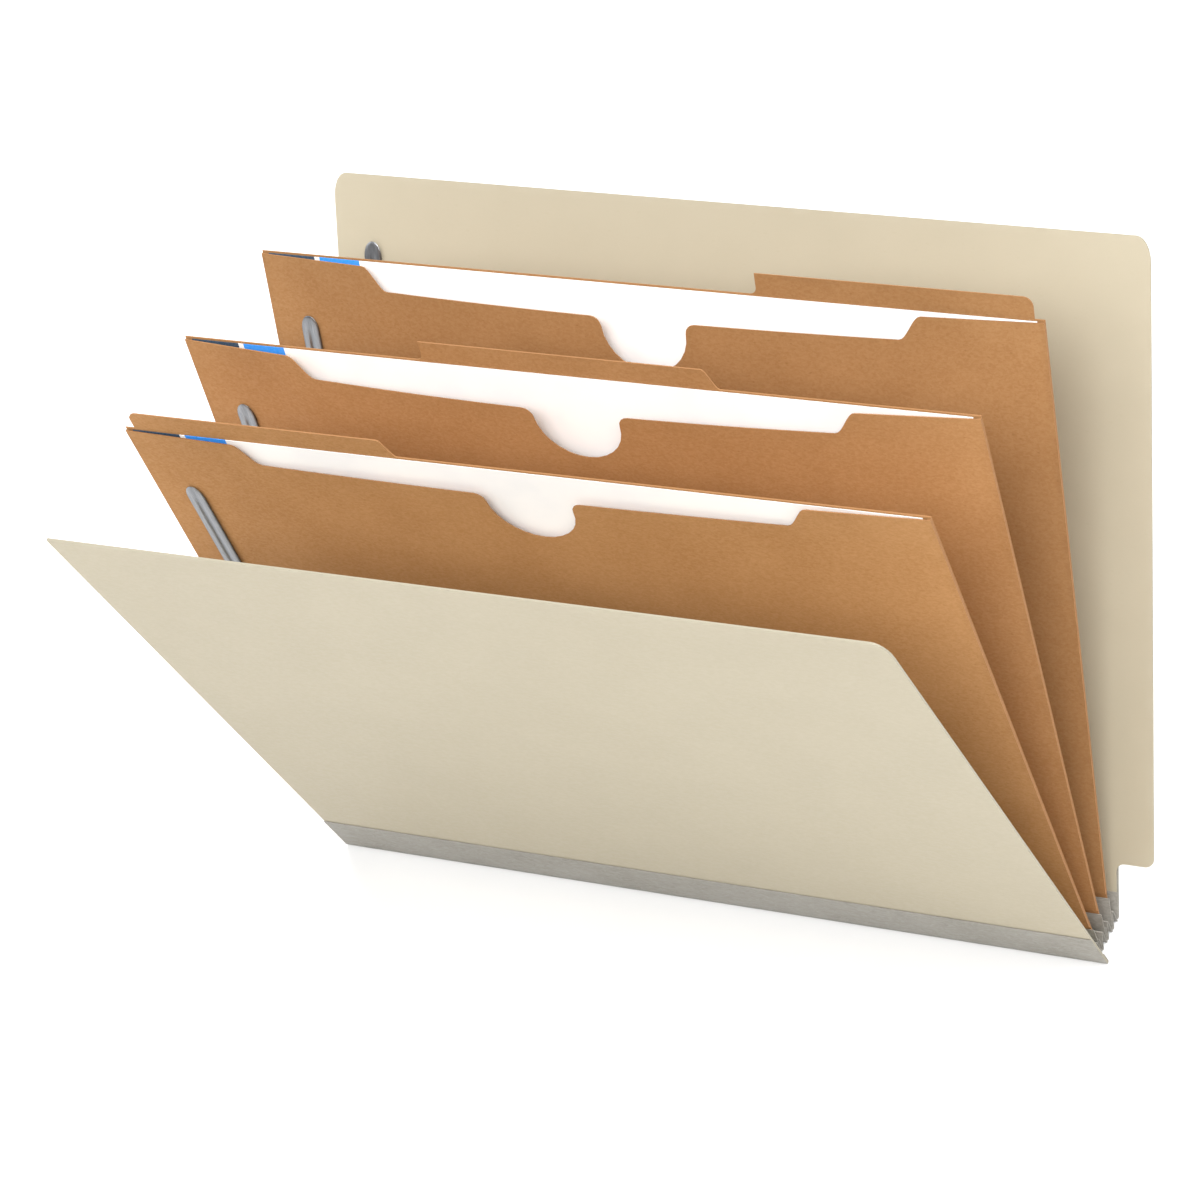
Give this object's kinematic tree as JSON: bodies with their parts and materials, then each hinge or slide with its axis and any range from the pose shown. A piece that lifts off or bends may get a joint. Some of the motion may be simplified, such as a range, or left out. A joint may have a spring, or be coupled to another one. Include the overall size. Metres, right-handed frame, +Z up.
{
  "type": "classification folder",
  "caption": "End-tab classification folder standing open like a fan on a pleated fabric gusset, with kraft pocket dividers, staggered index tabs, loose sheets and prong fasteners.",
  "frame": {"origin": "on the floor under the middle of the open folder's box; the spine's folds stand on z = 0", "axes": "+X along the spine towards the end tab, +Y from the front cover towards the back cover, +Z up"},
  "size_m": [0.3112, 0.2084, 0.2413],
  "materials": {
    "board": "smooth pale beige pressboard",
    "kraft": "matte speckled kraft stock",
    "fabric": "matte grey spun-bonded fabric",
    "steel": "satin steel strip",
    "paper": "smooth white office paper"
  },
  "bodies": {
    "spine": {"divider_2": "kraft", "pocket_2": "kraft", "gusset_binding_3": "fabric", "fastener_base_divider_2": "steel"},
    "divider_1_panel": {"divider_1": "kraft", "pocket_1": "kraft", "gusset_binding_2": "fabric", "fastener_base_divider_1": "steel"},
    "front_cover_panel": {"front_cover": "board", "gusset_binding_1": "fabric"},
    "divider_3_panel": {"divider_3": "kraft", "pocket_3": "kraft", "gusset_binding_4": "fabric", "fastener_base_divider_3": "steel"},
    "back_cover_panel": {"back_cover": "board", "gusset_binding_5": "fabric", "fastener_base_back_cover": "steel"},
    "gusset_leaf_2_rear_body": {"gusset_leaf_2_rear": "fabric"},
    "gusset_leaf_2_front_body": {"gusset_leaf_2_front": "fabric"},
    "gusset_leaf_1_rear_body": {"gusset_leaf_1_rear": "fabric"},
    "gusset_leaf_1_front_body": {"gusset_leaf_1_front": "fabric"},
    "gusset_leaf_3_front_body": {"gusset_leaf_3_front": "fabric"},
    "gusset_leaf_3_rear_body": {"gusset_leaf_3_rear": "fabric"},
    "gusset_leaf_4_front_body": {"gusset_leaf_4_front": "fabric"},
    "gusset_leaf_4_rear_body": {"gusset_leaf_4_rear": "fabric"},
    "prong_upper_divider_1_body": {"prong_upper_divider_1": "steel"},
    "prong_lower_divider_1_body": {"prong_lower_divider_1": "steel"},
    "prong_upper_divider_2_body": {"prong_upper_divider_2": "steel"},
    "prong_lower_divider_2_body": {"prong_lower_divider_2": "steel"},
    "prong_upper_divider_3_body": {"prong_upper_divider_3": "steel"},
    "prong_lower_divider_3_body": {"prong_lower_divider_3": "steel"},
    "prong_upper_back_cover_body": {"prong_upper_back_cover": "steel"},
    "prong_lower_back_cover_body": {"prong_lower_back_cover": "steel"},
    "sheet_1_body": {"sheet_1": "paper"},
    "sheet_2_body": {"sheet_2": "paper"},
    "sheet_3_body": {"sheet_3": "paper"}
  },
  "joints": [
    {"name": "section_2_open", "type": "hinge", "parent": "spine", "child": "gusset_leaf_2_rear_body", "pos_m": [0, -0.00264, 0.00013], "axis": [1, 0, 0], "range_deg": [-2.82, 13.2]},
    {"name": "section_2_ridge", "type": "hinge", "parent": "gusset_leaf_2_rear_body", "child": "gusset_leaf_2_front_body", "pos_m": [0, -0.00455, 0.00618], "axis": [1, 0, 0], "range_deg": [-4.9, 1.44]},
    {"name": "section_2_panel", "type": "hinge", "parent": "gusset_leaf_2_front_body", "child": "divider_1_panel", "pos_m": [0, -0.00645, 0.00013], "axis": [1, 0, 0], "range_deg": [-3.32, 13.7]},
    {"name": "section_1_open", "type": "hinge", "parent": "divider_1_panel", "child": "gusset_leaf_1_rear_body", "pos_m": [0, -0.00783, 0.00013], "axis": [1, 0, 0], "range_deg": [-3.78, 24]},
    {"name": "section_1_ridge", "type": "hinge", "parent": "gusset_leaf_1_rear_body", "child": "gusset_leaf_1_front_body", "pos_m": [0, -0.00971, 0.00619], "axis": [1, 0, 0], "range_deg": [-8.5, 1.76]},
    {"name": "section_1_panel", "type": "hinge", "parent": "gusset_leaf_1_front_body", "child": "front_cover_panel", "pos_m": [0, -0.01159, 0.00013], "axis": [1, 0, 0], "range_deg": [-4.28, 24.5]},
    {"name": "section_3_open", "type": "hinge", "parent": "spine", "child": "gusset_leaf_3_front_body", "pos_m": [0, -0.00124, 0.00013], "axis": [-1, 0, 0], "range_deg": [-4.26, 13.2]},
    {"name": "section_3_ridge", "type": "hinge", "parent": "gusset_leaf_3_front_body", "child": "gusset_leaf_3_rear_body", "pos_m": [0, 0.00067, 0.00618], "axis": [-1, 0, 0], "range_deg": [-4.9, 1.92]},
    {"name": "section_3_panel", "type": "hinge", "parent": "gusset_leaf_3_rear_body", "child": "divider_3_panel", "pos_m": [0, 0.00257, 0.00013], "axis": [-1, 0, 0], "range_deg": [-4.76, 13.7]},
    {"name": "section_4_open", "type": "hinge", "parent": "divider_3_panel", "child": "gusset_leaf_4_front_body", "pos_m": [0, 0.00395, 0.00013], "axis": [-1, 0, 0], "range_deg": [-4.5, 22.2]},
    {"name": "section_4_ridge", "type": "hinge", "parent": "gusset_leaf_4_front_body", "child": "gusset_leaf_4_rear_body", "pos_m": [0, 0.00583, 0.00619], "axis": [-1, 0, 0], "range_deg": [-7.9, 2]},
    {"name": "section_4_panel", "type": "hinge", "parent": "gusset_leaf_4_rear_body", "child": "back_cover_panel", "pos_m": [0, 0.00771, 0.00013], "axis": [-1, 0, 0], "range_deg": [-5, 22.7]},
    {"name": "prong_upper_divider_1_bend", "type": "hinge", "parent": "divider_1_panel", "child": "prong_upper_divider_1_body", "pos_m": [-0.13708, -0.0388, 0.15288], "axis": [1, 0, 0], "range_deg": [0, 38]},
    {"name": "prong_lower_divider_1_bend", "type": "hinge", "parent": "divider_1_panel", "child": "prong_lower_divider_1_body", "pos_m": [-0.13708, -0.02544, 0.08416], "axis": [-1, 0, 0], "range_deg": [0, 8]},
    {"name": "prong_upper_divider_2_bend", "type": "hinge", "parent": "spine", "child": "prong_upper_divider_2_body", "pos_m": [-0.13708, -0.0074, 0.15593], "axis": [1, 0, 0], "range_deg": [0, 38]},
    {"name": "prong_lower_divider_2_bend", "type": "hinge", "parent": "spine", "child": "prong_lower_divider_2_body", "pos_m": [-0.13708, -0.00582, 0.08595], "axis": [-1, 0, 0], "range_deg": [0, 8]},
    {"name": "prong_upper_divider_3_bend", "type": "hinge", "parent": "divider_3_panel", "child": "prong_upper_divider_3_body", "pos_m": [-0.13708, 0.03127, 0.15724], "axis": [1, 0, 0], "range_deg": [0, 38]},
    {"name": "prong_lower_divider_3_bend", "type": "hinge", "parent": "divider_3_panel", "child": "prong_lower_divider_3_body", "pos_m": [-0.13708, 0.01816, 0.08848], "axis": [-1, 0, 0], "range_deg": [0, 8]},
    {"name": "prong_upper_back_cover_bend", "type": "hinge", "parent": "back_cover_panel", "child": "prong_upper_back_cover_body", "pos_m": [-0.14058, 0.0732, 0.15356], "axis": [1, 0, 0], "range_deg": [0, 38]},
    {"name": "prong_lower_back_cover_bend", "type": "hinge", "parent": "back_cover_panel", "child": "prong_lower_back_cover_body", "pos_m": [-0.14058, 0.04551, 0.08927], "axis": [-1, 0, 0], "range_deg": [0, 8]},
    {"name": "sheet_1_slide", "type": "slide", "parent": "divider_1_panel", "child": "sheet_1_body", "axis": [0, -0.1908, 0.9816], "range_m": [0, 0.15]},
    {"name": "sheet_2_slide", "type": "slide", "parent": "spine", "child": "sheet_2_body", "axis": [0, -0.0227, 0.9997], "range_m": [0, 0.15]},
    {"name": "sheet_3_slide", "type": "slide", "parent": "divider_3_panel", "child": "sheet_3_body", "axis": [0, 0.1874, 0.9823], "range_m": [0, 0.15]}
  ],
  "couplings": [
    {"joint": "section_2_ridge", "follows": "section_2_open", "ratio": -0.33333},
    {"joint": "section_2_panel", "follows": "section_2_open", "ratio": 1},
    {"joint": "section_1_ridge", "follows": "section_1_open", "ratio": -0.33333},
    {"joint": "section_1_panel", "follows": "section_1_open", "ratio": 1},
    {"joint": "section_3_ridge", "follows": "section_3_open", "ratio": -0.33333},
    {"joint": "section_3_panel", "follows": "section_3_open", "ratio": 1},
    {"joint": "section_4_ridge", "follows": "section_4_open", "ratio": -0.33333},
    {"joint": "section_4_panel", "follows": "section_4_open", "ratio": 1}
  ]
}
